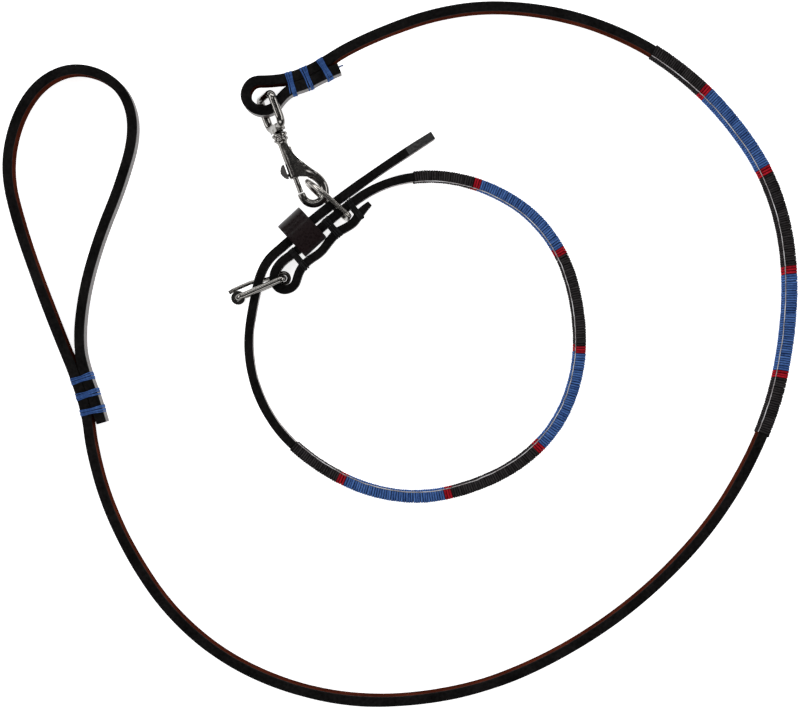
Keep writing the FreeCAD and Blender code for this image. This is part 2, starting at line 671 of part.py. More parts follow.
# Spring between the blind end of the bore and the bolt.
spring_start = BORE_START + size("spring_wire_radius") + 0.05
coil_height = size("spring_length") - 2 * size("spring_wire_radius")
helix = Part.makeHelix(size("spring_pitch"), coil_height, size("spring_radius"))
wire_start = Vector(size("spring_radius"), 0, 0)
wire_section = Part.Wire(Part.makeCircle(size("spring_wire_radius"), wire_start, Y_AXIS))
coil = Part.BRepOffsetAPI.MakePipeShell(Part.Wire(helix.Edges))
coil.setFrenetMode(True)
coil.add(wire_section, False, False)
coil.build()
coil.makeSolid()
spring_frame = snap_frame.multiply(Placement(Vector(spring_start, 0, 0), Rotation(Y_AXIS, 90)))
nodes.append(feature("bolt_spring", coil.shape(), spring_frame))

# ---------------------------------------------------------------- D-ring

RING_AT = Vector(-25.4, 69.1, 0)        # middle of the ring's bar, in the collar's fold
RING_TURN = 139.3                       # direction from the bar to the top of the D
ring_frame = collar_frame.multiply(
    Placement(RING_AT + Z_AXIS * mid_width, Rotation(Z_AXIS, RING_TURN))
).multiply(Placement(Vector(), Rotation(X_AXIS, size("ring_lean"))))
ring = new_body("d_ring", ring_frame)
ring_span = size("ring_half_span")
RING_CORNER = 2.0
d_pieces = [
    line_to((0, 0), (0, ring_span - RING_CORNER)),
    quarter((RING_CORNER, ring_span - RING_CORNER), RING_CORNER, 180, 90),
    line_to((RING_CORNER, ring_span), (size("ring_length") - ring_span, ring_span)),
    quarter((size("ring_length") - ring_span, 0), ring_span, 90, -90),
    line_to((size("ring_length") - ring_span, -ring_span), (RING_CORNER, -ring_span)),
    quarter((RING_CORNER, RING_CORNER - ring_span), RING_CORNER, 270, 180),
    line_to((0, RING_CORNER - ring_span), (0, 0)),
]
wire_loop(ring, "ring", d_pieces, "ring_wire_radius", (0, 0))
nodes.append(ring)

# ---------------------------------------------------------------- buckle

buckle_frame = collar_frame.multiply(
    Placement(BUCKLE_AT + Z_AXIS * mid_width, Rotation(Z_AXIS, BUCKLE_TURN)))
buckle_length = size("buckle_length")
BUCKLE_CORNER = 2.0
frame_body = new_body("buckle_frame", buckle_frame)
wire_loop(frame_body, "frame",
          round_corner_loop(buckle_length, size("buckle_half_span"), BUCKLE_CORNER, BUCKLE_CORNER),
          "buckle_wire_radius", (0, 0))
nodes.append(frame_body)

roller_outer = doc.addObject("Part::Cylinder", "roller_outer")
bind(roller_outer, Radius="$roller_radius", Height="$roller_length")
roller_inner = doc.addObject("Part::Cylinder", "roller_inner")
bind(roller_inner, Radius="$buckle_wire_radius + $roller_clearance", Height="$roller_length")
roller = doc.addObject("Part::Cut", "buckle_roller")
roller.Label = "buckle_roller"
roller.Base = roller_outer
roller.Tool = roller_inner
roller.Placement = buckle_frame.multiply(
    Placement(Vector(buckle_length, 0, -size("roller_length") / 2), Rotation()))
nodes.append(roller)

# Tongue: one wire, bent to an eye round the bar and on to a pin that lies on the roller.
tongue = new_body("buckle_tongue", buckle_frame)
eye_radius = size("tongue_eye_radius")
rest_side = -(size("roller_radius") + size("tongue_wire_radius") + 0.15)
PIN_ROUND = 6.0
tongue_path = new_sketch(tongue, "tongue_path", "XY_Plane")
tongue_pieces = [
    quarter((0, 0), eye_radius, 0, 135),
    quarter((0, 0), eye_radius, 135, 270),
] + rounded_line([(0, -eye_radius), (7.0, -eye_radius), (16.0, rest_side), (25.6, rest_side),
                  (28.0, rest_side + 0.5)], PIN_ROUND)
for piece in tongue_pieces:
    tongue_path.addGeometry(piece, False)
tongue_section = new_sketch(tongue, "tongue_section", "XZ_Plane")
draw_disc(tongue_section, (eye_radius, 0), "tongue_wire_radius")
pipe(tongue, "tongue_wire", tongue_section, tongue_path)
nodes.append(tongue)

# ---------------------------------------------------------------- keeper

KEEPER_AT = 81.6                        # distance of the keeper's middle from the tail's tip
keeper_middle, keeper_way = along(collar_edges, KEEPER_AT)
keeper_frame = collar_frame.multiply(
    Placement(keeper_middle + Z_AXIS * mid_width, Rotation(X_AXIS, keeper_way)))
keeper = new_body("collar_keeper", keeper_frame)
KEEPER_SHIFT = 0.9                      # keeper's middle off the tail's middle, towards the main layer


def keeper_outline(sketch, inset):
    """Round on the free side, close-fitting on the strap's side; inset moves the whole line in."""
    half_height = size("keeper_height") / 2 - inset
    free = KEEPER_SHIFT - (size("keeper_depth") / 2 - inset)
    strap = KEEPER_SHIFT + (size("keeper_depth") / 2 - inset)
    dome = size("keeper_dome_radius") - inset
    fold = max(size("keeper_fold_radius") - inset, 0.4)
    pieces = [
        quarter((free + dome, half_height - dome), dome, 180, 90),
        line_to((free + dome, half_height), (strap - fold, half_height)),
        quarter((strap - fold, half_height - fold), fold, 90, 0),
        line_to((strap, half_height - fold), (strap, fold - half_height)),
        quarter((strap - fold, fold - half_height), fold, 0, -90),
        line_to((strap - fold, -half_height), (free + dome, -half_height)),
        quarter((free + dome, dome - half_height), dome, 270, 180),
        line_to((free, dome - half_height), (free, half_height - dome)),
    ]
    for piece in pieces:
        sketch.addGeometry(piece, False)


keeper_ring = new_sketch(keeper, "keeper_outline", "YZ_Plane")
keeper_outline(keeper_ring, 0.0)
keeper_outline(keeper_ring, size("keeper_thickness"))
keeper_pad = keeper.newObject("PartDesign::Pad", "keeper_band")
keeper_pad.Profile = keeper_ring
keeper_pad.Midplane = True
bind(keeper_pad, Length="$keeper_width")
nodes.append(keeper)

# ---------------------------------------------------------------- check and write

doc.recompute()
for item in doc.Objects:
    if "Invalid" in item.State or "Error" in item.State:
        raise RuntimeError(f"{item.Name} failed: {item.State}")
for node in nodes:
    if node.Shape.isNull() or not node.Shape.isValid() or node.Shape.Volume <= 0:
        raise RuntimeError(f"{node.Label} has no valid solid")
for node in nodes:
    node.Shape.exportStep(f"parts/{node.Label}.step")
box = FreeCAD.BoundBox()
for node in nodes:
    box.add(node.Shape.BoundBox)
print(f"{len(nodes)} sub-parts, whole set x {box.XMin:.2f} {box.XMax:.2f}"
      f" y {box.YMin:.2f} {box.YMax:.2f} z {box.ZMin:.2f} {box.ZMax:.2f}")
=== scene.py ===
import math
import random

import bpy
import numpy as np
from mathutils import Matrix, Vector


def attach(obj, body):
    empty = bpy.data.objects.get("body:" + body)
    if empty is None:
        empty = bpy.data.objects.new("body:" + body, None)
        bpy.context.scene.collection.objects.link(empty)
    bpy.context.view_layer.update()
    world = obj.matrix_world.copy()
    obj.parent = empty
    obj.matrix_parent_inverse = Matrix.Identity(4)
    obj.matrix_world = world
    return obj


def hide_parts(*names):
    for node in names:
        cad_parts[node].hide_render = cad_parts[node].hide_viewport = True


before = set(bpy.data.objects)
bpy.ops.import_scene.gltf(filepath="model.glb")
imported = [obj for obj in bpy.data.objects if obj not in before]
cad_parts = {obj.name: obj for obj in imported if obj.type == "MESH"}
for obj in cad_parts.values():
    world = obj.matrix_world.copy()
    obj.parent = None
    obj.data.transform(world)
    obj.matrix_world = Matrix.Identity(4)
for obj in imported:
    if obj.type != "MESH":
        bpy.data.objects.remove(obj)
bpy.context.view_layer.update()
MM = 0.001
random.seed(7)
rng = np.random.default_rng(7)

# ---------------------------------------------------------------- sizes shared with the CAD model, in mm

STRAP = 16.0
LEAD_HALF = 2.5
COLLAR_HALF = 2.2
LIFT = 2.79
TILT = math.radians(1.16)
BUCKLE_AT = (-57.75, 38.5)
KEEPER_AT = 81.6
TONGUE_HOLE_AT = 115.2
HOLE_SPACING = 20.0
HOLE_STEPS = (-3, -2, -1, 1, 2)
LEAD_LENGTH = 1364.7
COLLAR_LENGTH = 692.6
SNAP_AT = (-59.2, 108.9, 12.6)
SNAP_TURN = math.radians(-69.5)
EYE_ROLL = math.radians(-19.0)
EYE_HALF_SPAN = 10.85

# Middle line of the lead's lower edge, from the folded end by the snap to the end in the hand loop.
LEAD_ROUTE = [
    (-29.5, 143.0, 4.6), (-38.0, 139.5, 4.6), (-46.0, 135.0, 4.6), (-53.0, 133.0, 4.6),
    (-58.4, 129.0, 4.6), (-63.0, 122.0, 4.6), (-72.0, 122.0, 4.6), (-77.5, 129.0, 4.6),
    (-73.5, 137.0, 4.6), (-65.0, 137.0, 4.6), (-56.0, 138.0, 4.6), (-47.0, 141.0, 4.5),
    (-39.0, 145.0, 4.3), (-25.0, 154.0, 3.7), (-5.0, 163.0, 3.0), (18.0, 171.0, 2.3),
    (44.0, 175.0, 1.7), (72.5, 173.0, 1.2), (99.0, 166.5, 0.9), (126.5, 154.0, 0.8),
    (151.0, 135.5, 0.8), (170.0, 114.5, 0.8), (185.0, 91.5, 0.8), (194.0, 65.0, 0.8),
    (197.0, 36.5, 0.8), (195.0, 7.0, 0.8), (189.0, -23.5, 0.8), (176.0, -55.0, 0.8),
    (157.5, -85.0, 0.5), (134.0, -111.0, 0.3), (108.0, -133.0, 0.1), (77.5, -152.0, 0.0),
    (45.0, -166.0, 0.0), (11.5, -173.0, 0.0), (-23.0, -174.0, 0.0), (-57.5, -166.5, 0.0),
    (-89.0, -151.5, 0.0), (-115.0, -129.0, 0.1), (-134.0, -101.0, 0.3), (-147.0, -73.0, 0.6),
    (-154.0, -47.0, 0.8), (-156.0, -29.5, 0.8), (-161.5, -11.5, 0.8), (-169.5, 8.0, 0.7),
    (-180.0, 35.0, 0.5), (-190.5, 65.0, 0.2), (-197.0, 91.5, 0.1), (-193.0, 116.0, 0.0),
    (-182.0, 135.0, 0.0), (-166.0, 144.0, 0.0), (-149.0, 141.5, 0.0), (-136.0, 130.5, 0.0),
    (-132.0, 111.5, 0.0), (-139.5, 85.0, 0.1), (-150.5, 58.0, 0.3), (-158.0, 31.0, 0.6),
    (-160.5, 5.5, 0.8), (-156.5, -10.5, 0.8), (-151.9, -22.4, 0.8), (-148.5, -34.0, 0.8),
]

# Middle line of the collar's strap in the collar's own plane, from the tail's tip to the folded end.
COLLAR_ROUTE = [
    (17.0, 110.0), (-1.0, 98.5), (-22.0, 84.0), (-42.0, 69.0), (-55.5, 56.5), (-68.0, 46.0),
    (-72.5, 27.5), (-76.0, 5.5), (-72.0, -17.5), (-60.0, -39.0), (-40.0, -56.0), (-16.0, -68.0),
    (10.0, -72.0), (35.0, -67.0), (60.0, -55.5), (80.0, -36.0), (90.5, -9.0), (91.0, 19.0),
    (84.0, 48.0), (68.0, 70.5), (46.0, 84.0), (23.0, 90.0), (3.0, 89.0), (-14.0, 83.0),
    (-28.0, 73.0), (-40.0, 63.0), (-51.0, 52.0), (-59.5, 46.5), (-63.5, 38.5), (-59.5, 32.0),
    (-52.0, 34.0), (-50.0, 42.0), (-46.0, 47.0), (-39.0, 51.3), (-35.2, 56.6), (-31.2, 61.4),
    (-26.8, 63.6), (-22.5, 66.2), (-19.8, 70.6), (-17.3, 73.4), (-14.5, 75.9),
]

LEAD_WRAPS = [
    ("lead_wrap_black_1", 277.5, 308.3), ("lead_wrap_red_1", 308.3, 312.3),
    ("lead_wrap_blue_1", 312.3, 358.8), ("lead_wrap_red_2", 358.8, 362.8),
    ("lead_wrap_black_2", 362.8, 410.3), ("lead_wrap_red_3", 410.3, 414.4),
    ("lead_wrap_blue_2", 414.4, 463.0), ("lead_wrap_red_4", 463.0, 466.8),
    ("lead_wrap_black_3", 466.8, 496.0),
]
COLLAR_WRAPS = [
    ("collar_wrap_black_1", 204.6, 232.0), ("collar_wrap_red_1", 232.0, 236.0),
    ("collar_wrap_blue_1", 236.0, 287.0), ("collar_wrap_red_2", 287.0, 290.9),
    ("collar_wrap_black_2", 290.9, 338.5), ("collar_wrap_red_3", 338.5, 342.4),
    ("collar_wrap_blue_2", 342.4, 393.0), ("collar_wrap_red_4", 393.0, 396.8),
    ("collar_wrap_black_3", 396.8, 443.4), ("collar_wrap_red_5", 443.4, 447.2),
    ("collar_wrap_blue_3", 447.2, 498.8), ("collar_wrap_red_6", 498.8, 502.4),
    ("collar_wrap_black_4", 502.4, 532.4),
]

collar_turn = Matrix.Translation((0, 0, LIFT)) @ Matrix.Rotation(TILT, 4, Vector((0.6, 0.8, 0.0)))
# Each strap stands on its edge, so the way up is across its width; the collar's plane is tilted a little.
UP = np.array((0.0, 0.0, 1.0))
STATION = 0.0009  # metres along a strap from one section to the next
THREAD_SIDES = 8
COLLAR_UP = np.array(collar_turn.to_3x3() @ Vector((0, 0, 1)))


def on_collar(x, y, z=0.0):
    """A point of the collar's own plane, in the row frame, in mm."""
    return tuple(collar_turn @ Vector((x, y, z)))


# ---------------------------------------------------------------- materials


def shader(name, colour, roughness, metallic=0.0, specular=0.5):
    """New material with a plain Principled shader: (material, nodes, links, shader node)."""
    mat = bpy.data.materials.new(name)
    mat.use_nodes = True
    nodes, links = mat.node_tree.nodes, mat.node_tree.links
    bsdf = nodes["Principled BSDF"]
    bsdf.inputs["Base Color"].default_value = (*colour, 1.0)
    bsdf.inputs["Roughness"].default_value = roughness
    bsdf.inputs["Metallic"].default_value = metallic
    bsdf.inputs["Specular IOR Level"].default_value = specular
    return mat, nodes, links, bsdf


def noise(nodes, links, coords, scale, detail=3.0, stretch=None):
    """Noise at a scale per metre; stretch squeezes the coordinates first."""
    tex = nodes.new("ShaderNodeTexNoise")
    tex.inputs["Scale"].default_value = scale
    tex.inputs["Detail"].default_value = detail
    if stretch:
        mapping = nodes.new("ShaderNodeMapping")
        mapping.inputs["Scale"].default_value = stretch
        links.new(coords, mapping.inputs["Vector"])
        coords = mapping.outputs["Vector"]
    links.new(coords, tex.inputs["Vector"])
    return tex.outputs["Fac"]


def ramp(nodes, links, value, stops):
    """Colour or grey that follows a value through (position, colour) stops."""
    node = nodes.new("ShaderNodeValToRGB")
    node.color_ramp.elements[0].position = stops[0][0]
    node.color_ramp.elements[1].position = stops[-1][0]
    for stop in stops[1:-1]:
        node.color_ramp.elements.new(stop[0])
    for element, stop in zip(node.color_ramp.elements, stops):
        colour = stop[1]
        element.color = (*colour, 1.0) if isinstance(colour, tuple) else (colour, colour, colour, 1.0)
    links.new(value, node.inputs["Fac"])
    return node.outputs["Color"]


def bump(nodes, links, height, distance, strength=1.0, normal=None):
    """Normal that follows a height, distance in metres, over an earlier normal if there is one."""
    node = nodes.new("ShaderNodeBump")
    node.inputs["Strength"].default_value = strength
    node.inputs["Distance"].default_value = distance
    links.new(height, node.inputs["Height"])
    if normal is not None:
        links.new(normal, node.inputs["Normal"])
    return node.outputs["Normal"]


def leather(name, dark, light, roughness, grain, scale=900.0, specular=0.5):
    """Leather surface: broad mottling, pores and fine grain; grain is its depth in metres."""
    mat, nodes, links, bsdf = shader(name, dark, roughness, specular=specular)
    coords = nodes.new("ShaderNodeTexCoord").outputs["Object"]
    broad = noise(nodes, links, coords, 70.0, 4.0)
    fine = noise(nodes, links, coords, scale, 6.0)
    mix = nodes.new("ShaderNodeMath")
    mix.operation = "MULTIPLY"
    links.new(broad, mix.inputs[0])
    links.new(fine, mix.inputs[1])
    links.new(ramp(nodes, links, mix.outputs[0], [(0.12, dark), (0.42, light)]), bsdf.inputs["Base Color"])
    rough = ramp(nodes, links, fine, [(0.3, roughness * 0.75), (0.75, min(1.0, roughness * 1.3))])
    links.new(rough, bsdf.inputs["Roughness"])
    cells = nodes.new("ShaderNodeTexVoronoi")
    cells.inputs["Scale"].default_value = scale * 1.4
    links.new(coords, cells.inputs["Vector"])
    first = bump(nodes, links, cells.outputs["Distance"], grain, 0.5)
    links.new(bump(nodes, links, fine, grain, 0.7, first), bsdf.inputs["Normal"])
    return mat


def math_node(nodes, links, operation, value, second):
    """One step of arithmetic on a value; second is a number or another value."""
    node = nodes.new("ShaderNodeMath")
    node.operation = operation
    links.new(value, node.inputs[0])
    if isinstance(second, float):
        node.inputs[1].default_value = second
    else:
        links.new(second, node.inputs[1])
    return node.outputs[0]


def thread(name, dark, light):
    """Waxed thread: twisted fibres, a tone that changes along it and painted shade where turns meet.

    U is the distance along the thread in metres; V goes once round it, with its crown at 0.25.
    """
    roughness = 0.5
    mat, nodes, links, bsdf = shader(name, light, roughness, specular=0.0)
    uv = nodes.new("ShaderNodeTexCoord").outputs["UV"]
    apart = nodes.new("ShaderNodeSeparateXYZ")
    links.new(uv, apart.inputs["Vector"])
    along = noise(nodes, links, uv, 1.0, 2.0, (90.0, 0.5, 1.0))
    fibre = noise(nodes, links, uv, 1.0, 3.0, (900.0, 14.0, 1.0))
    tone = math_node(nodes, links, "ADD", along, fibre)
    tone = math_node(nodes, links, "MULTIPLY", tone, 0.5)
    colour = ramp(nodes, links, tone, [(0.36, dark), (0.62, light)])
    # Painted shade: away from its crown the thread darkens to 16% of its colour, on its sides and underside
    # where turns meet.
    away = math_node(nodes, links, "SUBTRACT", apart.outputs["Y"], 0.25)
    away = math_node(nodes, links, "ABSOLUTE", away, 0.0)
    side = ramp(nodes, links, away, [(0.07, 1.0), (0.2, 0.16)])
    shade = nodes.new("ShaderNodeMix")
    shade.data_type = "RGBA"
    shade.blend_type = "MULTIPLY"
    shade.inputs[0].default_value = 1.0
    links.new(colour, shade.inputs[6])
    links.new(side, shade.inputs[7])
    links.new(shade.outputs[2], bsdf.inputs["Base Color"])
    links.new(ramp(nodes, links, fibre, [(0.3, roughness * 0.8), (0.7, roughness * 1.3)]),
              bsdf.inputs["Roughness"])
    links.new(bump(nodes, links, fibre, 0.00008, 0.6), bsdf.inputs["Normal"])
    return mat


def plated(name, colour, low, high):
    """Nickel plate: slight waviness of the casting, fine scuffs in a gloss between low and high."""
    dent = 0.00003
    mat, nodes, links, bsdf = shader(name, colour, low, 1.0)
    coords = nodes.new("ShaderNodeTexCoord").outputs["Object"]
    wave = noise(nodes, links, coords, 260.0, 2.0)
    scuff = noise(nodes, links, coords, 1600.0, 5.0)
    dark = tuple(c * 0.72 for c in colour)
    links.new(ramp(nodes, links, wave, [(0.3, dark), (0.6, colour)]), bsdf.inputs["Base Color"])
    links.new(ramp(nodes, links, scuff, [(0.35, low), (0.75, high)]), bsdf.inputs["Roughness"])
    edge = nodes.new("ShaderNodeBevel")
    edge.samples = 6
    edge.inputs["Radius"].default_value = 0.0003
    links.new(bump(nodes, links, wave, dent, 1.0, edge.outputs["Normal"]), bsdf.inputs["Normal"])
    return mat


EDGE = leather("cut_edge", (0.0019, 0.0018, 0.0018), (0.0096, 0.0088, 0.0087), 0.5, 0.00006, 700.0, 0.03)
GRAIN = leather("grain_face", (0.012, 0.006, 0.005), (0.034, 0.018, 0.016), 0.42, 0.00003, 1100.0, 0.22)
FLESH = leather("flesh_face", (0.024, 0.005, 0.003), (0.085, 0.017, 0.008), 0.9, 0.00022, 600.0, 0.0)
# Collar's flesh face: its pale grey, speckled colour is painted sheen, a reflection of the lights painted
# over the leather.
COLLAR_FLESH_PAINTED_SHEEN = leather("collar_flesh_painted_sheen", (0.10, 0.088, 0.086), (0.60, 0.56, 0.55), 0.7, 0.00015, 900.0, 0.3)
# Pale thread: its white is a painted highlight, the line of light along the whipping's inner top corner.
PAINTED_HIGHLIGHT = thread("painted_highlight_thread", (0.08, 0.04, 0.03), (0.95, 0.95, 0.98))
SCUFFED = leather("tail_tip", (0.010, 0.010, 0.010), (0.07, 0.07, 0.07), 0.55, 0.00012, 900.0, 0.1)
KEEPER = leather("keeper_leather", (0.0055, 0.003, 0.0032), (0.011, 0.0055, 0.006), 0.3, 0.000015,
                 specular=0.17)
BLACK = thread("black_thread", (0.006, 0.0055, 0.0056), (0.043, 0.039, 0.040))
RED = thread("red_thread", (0.13, 0.004, 0.007), (0.52, 0.016, 0.03))
BLUE = thread("blue_thread", (0.012, 0.036, 0.14), (0.088, 0.188, 0.475))
DARK_STITCH = thread("dark_stitch", (0.004, 0.004, 0.004), (0.03, 0.03, 0.03))
NICKEL = plated("bright_nickel", (0.23, 0.22, 0.207), 0.1, 0.2)
SATIN = plated("ring_nickel", (0.39, 0.37, 0.345), 0.2, 0.3)
STUD = plated("stud_nickel", (0.13, 0.125, 0.12), 0.28, 0.42)
SPRING = plated("spring_wire", (0.30, 0.30, 0.31), 0.25, 0.40)

# ---------------------------------------------------------------- lines and meshes


class Line:
    """A smooth line: the route's points are the control points of a spline, read back as a mesh."""

    def __init__(self, name, points):
        curve = bpy.data.curves.new(name, "CURVE")
        curve.dimensions = "3D"
        spline = curve.splines.new("NURBS")
        spline.points.add(len(points) - 1)
        for target, point in zip(spline.points, points):
            target.co = (point[0] * MM, point[1] * MM, point[2] * MM, 1.0)
        spline.order_u = 3
        spline.use_endpoint_u = True
        spline.resolution_u = 12
        carrier = bpy.data.objects.new(name, curve)
        mesh = bpy.data.meshes.new_from_object(carrier)
        self.points = np.array([tuple(v.co) for v in mesh.vertices])
        bpy.data.objects.remove(carrier)
        bpy.data.curves.remove(curve)
        bpy.data.meshes.remove(mesh)
        steps = np.linalg.norm(np.diff(self.points, axis=0), axis=1)
        self.distances = np.concatenate(([0.0], np.cumsum(steps)))
        self.length = float(self.distances[-1])

    def at(self, where):
        """Points at distances along the line, all in metres."""
        return np.stack([np.interp(where, self.distances, self.points[:, k]) for k in range(3)], axis=-1)

    def way(self, where):
        """Directions at distances along the line."""
        where = np.asarray(where)
        reach = 0.0006
        after = self.at(np.clip(where + reach, 0, self.length))
        before = self.at(np.clip(where - reach, 0, self.length))
        ends = after - before
        return ends / np.linalg.norm(ends, axis=-1, keepdims=True)


def settle(obj, node, body):
    """The piece takes a node's place and rides on a body."""
    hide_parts(node)
    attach(obj, body)
    return obj


def left_of(way, up):
    """Unit direction to the left of the way."""
    side = np.cross(up, way)
    return side / np.linalg.norm(side, axis=-1, keepdims=True)


def link(name, mesh, materials):
    """New object in the scene with a mesh and its materials."""
    for mat in materials:
        mesh.materials.append(mat)
    obj = bpy.data.objects.new(name, mesh)
    bpy.context.collection.objects.link(obj)
    return obj


def joined(pieces):
    """The pieces as one object, which is the first of them."""
    with bpy.context.temp_override(active_object=pieces[0], object=pieces[0],
                                   selected_editable_objects=pieces, selected_objects=pieces):
        bpy.ops.object.join()
    return pieces[0]


def baked(obj):
    """Applies an object's modifiers to its mesh."""
    deps = bpy.context.evaluated_depsgraph_get()
    mesh = bpy.data.meshes.new_from_object(obj.evaluated_get(deps))
    obj.modifiers.clear()
    obj.data = mesh
    return obj


def swept(name, centres, axis_a, axis_b, section, materials, around=None, closed=False, path_uv=None,
          unit_v=False):
    """Skin over sections: section[i] or one section of (a, b) pairs, placed at each centre.

    around gives the material of each side of the section; path_uv the distance used as U; with unit_v
    the V goes from 0 to 1 round the section.
    """
    centres = np.asarray(centres)
    count = len(centres)
    section = np.asarray(section)
    if section.ndim == 2:
        section = np.broadcast_to(section, (count,) + section.shape)
    sides = section.shape[1]
    verts = (centres[:, None, :] + section[:, :, 0:1] * axis_a[:, None, :]
             + section[:, :, 1:2] * axis_b[:, None, :])
    rings = count if closed else count - 1
    ring = np.arange(rings)[:, None]
    side = np.arange(sides)[None, :]
    following = (ring + 1) % count
    faces = np.stack([ring * sides + side, ring * sides + (side + 1) % sides,
                      following * sides + (side + 1) % sides, following * sides + side], axis=-1)
    faces = faces.reshape(-1, 4).tolist()
    quads = len(faces)
    if not closed:
        faces.append(list(range(sides))[::-1])
        faces.append([(count - 1) * sides + k for k in range(sides)])
    mesh = bpy.data.meshes.new(name)
    mesh.from_pydata(verts.reshape(-1, 3).tolist(), [], faces)
    steps = np.linalg.norm(np.diff(section[0], axis=0, append=section[0][:1]), axis=1)
    v_at = np.concatenate(([0.0], np.cumsum(steps)))
    if unit_v:
        v_at /= v_at[-1]
    if path_uv is None:
        lengths = np.linalg.norm(np.diff(centres, axis=0), axis=1)
        path_uv = np.concatenate(([0.0], np.cumsum(lengths)))
    path_uv = np.append(path_uv, path_uv[-1] + path_uv[1] - path_uv[0])
    u_low = np.repeat(path_uv[:rings], sides)
    u_high = np.repeat(path_uv[1:rings + 1], sides)
    v_low = np.tile(v_at[:-1], rings)
    v_high = np.tile(v_at[1:], rings)
    uv = np.stack([u_low, v_low, u_low, v_high, u_high, v_high, u_high, v_low], axis=-1).reshape(-1)
    layer = mesh.uv_layers.new(name="UVMap")
    full = np.zeros(len(mesh.loops) * 2)
    full[:len(uv)] = uv
    layer.data.foreach_set("uv", full)
    if around is not None:
        index = np.zeros(len(faces), dtype=np.int32)
        index[:quads] = np.tile(np.asarray(around, dtype=np.int32), rings)
        mesh.polygons.foreach_set("material_index", index)
    mesh.polygons.foreach_set("use_smooth", np.ones(len(faces), dtype=bool))
    mesh.update()
    return link(name, mesh, materials)


def rounded_box(half_a, half_b, radius, corner=4, side_a=3, side_b=6):
    """Counter-clockwise outline of a rounded rectangle: points, outward directions, side names."""
    points, outward, names = [], [], []
    corners = [(1, 1, 0), (-1, 1, 90), (-1, -1, 180), (1, -1, 270)]
    for number, (sa, sb, start) in enumerate(corners):
        ca, cb = sa * (half_a - radius), sb * (half_b - radius)
        for k in range(corner + 1):
            angle = math.radians(start + 90 * k / corner)
            points.append((ca + radius * math.cos(angle), cb + radius * math.sin(angle)))
            outward.append((math.cos(angle), math.sin(angle)))
            names.append("corner")
        names[-1] = ("top", "right", "bottom", "left")[number]
        nxt = corners[(number + 1) % 4]
        target = (nxt[0] * (half_a - radius), nxt[1] * (half_b - radius))
        angle = math.radians(start + 90)
        far = (target[0] + radius * math.cos(angle), target[1] + radius * math.sin(angle))
        near = points[-1]
        pieces = side_a if number % 2 == 0 else side_b
        for k in range(1, pieces):
            share = k / pieces
            points.append((near[0] + share * (far[0] - near[0]), near[1] + share * (far[1] - near[1])))
            outward.append((math.cos(angle), math.sin(angle)))
            names.append(names[-1])
    return np.array(points), np.array(outward), names


def circle(sides, half_a, half_b):
    """Outline of an ellipse as (a, b) pairs."""
    angles = np.linspace(0, 2 * math.pi, sides, endpoint=False)
    return np.stack([np.cos(angles) * half_a, np.sin(angles) * half_b], axis=-1)


def seam_gap(line, half):
    """How far the flesh side swells, along the line, where two layers are sewn together."""
    other_layer, widest, left_open = 30 * MM, 0.75 * MM, 0.06 * MM
    where = np.linspace(0, line.length, int(line.length / STATION))
    points = line.at(where)
    swell = np.zeros(len(where))
    for k, point in enumerate(points):
        away = np.abs(where - where[k]) > other_layer
        gap = np.linalg.norm(points[away] - point, axis=1).min() / 2 - half * MM
        swell[k] = gap - left_open if 0 < gap < widest else 0.0
    return np.clip(np.convolve(swell, np.ones(9) / 9, "same"), 0, None)


def strap(name, line, up, half, materials, grain_left, body, node, skive=None, cutters=(), worn=0.0,
          close_up=False):
    """The leather strap: cut edges up and down, grain on one face and flesh on the other.

    skive is (length, share of the thickness left) at the far end; worn is the length of the scuffed
    tip, which takes the fourth material; close_up swells the flesh side into the sewn seams.
    """
    box, _, names = rounded_box(half * MM, STRAP / 2 * MM, 0.75 * MM, 4, 5, 8)
    faces = {"top": 0, "bottom": 0, "corner": 0, "left": 1 if grain_left else 2,
             "right": 2 if grain_left else 1}
    around = [faces[n] for n in names]
    count = int(line.length / STATION)
    where = np.linspace(0, line.length, count)
    way = line.way(where)
    side = left_of(way, up)
    centres = line.at(where)
    section = np.broadcast_to(box, (count,) + box.shape).copy()
    # Leather is never quite even: its thickness and cut edges wander by a few hundredths.
    wander = np.interp(where, np.linspace(0, line.length, 90), rng.normal(0, 0.045, 90)) * MM
    rise = np.interp(where, np.linspace(0, line.length, 160), rng.normal(0, 0.05, 160)) * MM
    section[:, :, 0] += np.sign(section[:, :, 0]) * wander[:, None]
    section[:, :, 1] += np.clip(np.sign(section[:, :, 1]), 0, 1) * rise[:, None]
    if close_up:
        section[:, :, 0] -= (box[:, 0] < 0) * seam_gap(line, half)[:, None]
    if skive is not None:
        start, thin = skive
        share = np.clip((where - (line.length - start)) / start, 0, 1) ** 1.5
        section[:, :, 0] *= (1 - share * (1 - thin))[:, None]
    obj = swept(name, centres, side, np.broadcast_to(up, side.shape), section, materials, around,
                path_uv=where)
    if worn:
        slots = np.zeros(len(obj.data.polygons), dtype=np.int32)
        obj.data.polygons.foreach_get("material_index", slots)
        tip = np.arange(len(slots)) < len(box) * np.searchsorted(where, worn)
        slots[tip & (slots == 0)] = 3
        obj.data.polygons.foreach_set("material_index", slots)
    for cutter in cutters:
        cut = obj.modifiers.new(cutter.name, "BOOLEAN")
        cut.operation = "DIFFERENCE"
        cut.solver = "EXACT"
        cut.object = cutter
    if cutters:
        baked(obj)
        for cutter in cutters:
            bpy.data.objects.remove(cutter)
    return settle(obj, node, body)


def punch(line, up, distance, reach, half_length, half_height, round_end):
    """Cutter through the strap's faces, square to them, in the middle of its width."""
    centre = line.at(distance)
    way = line.way(distance)
    side = left_of(way, up)
    if round_end:
        outline = circle(24, half_length, half_height)
    else:
        outline = np.array([(1, 1), (-1, 1), (-1, -1), (1, -1)]) * (half_length, half_height)
    centres = np.stack([centre - side * reach, centre + side * reach])
    return swept("punch", centres, np.stack([way, way]), np.stack([up, up]), outline[::-1], [])


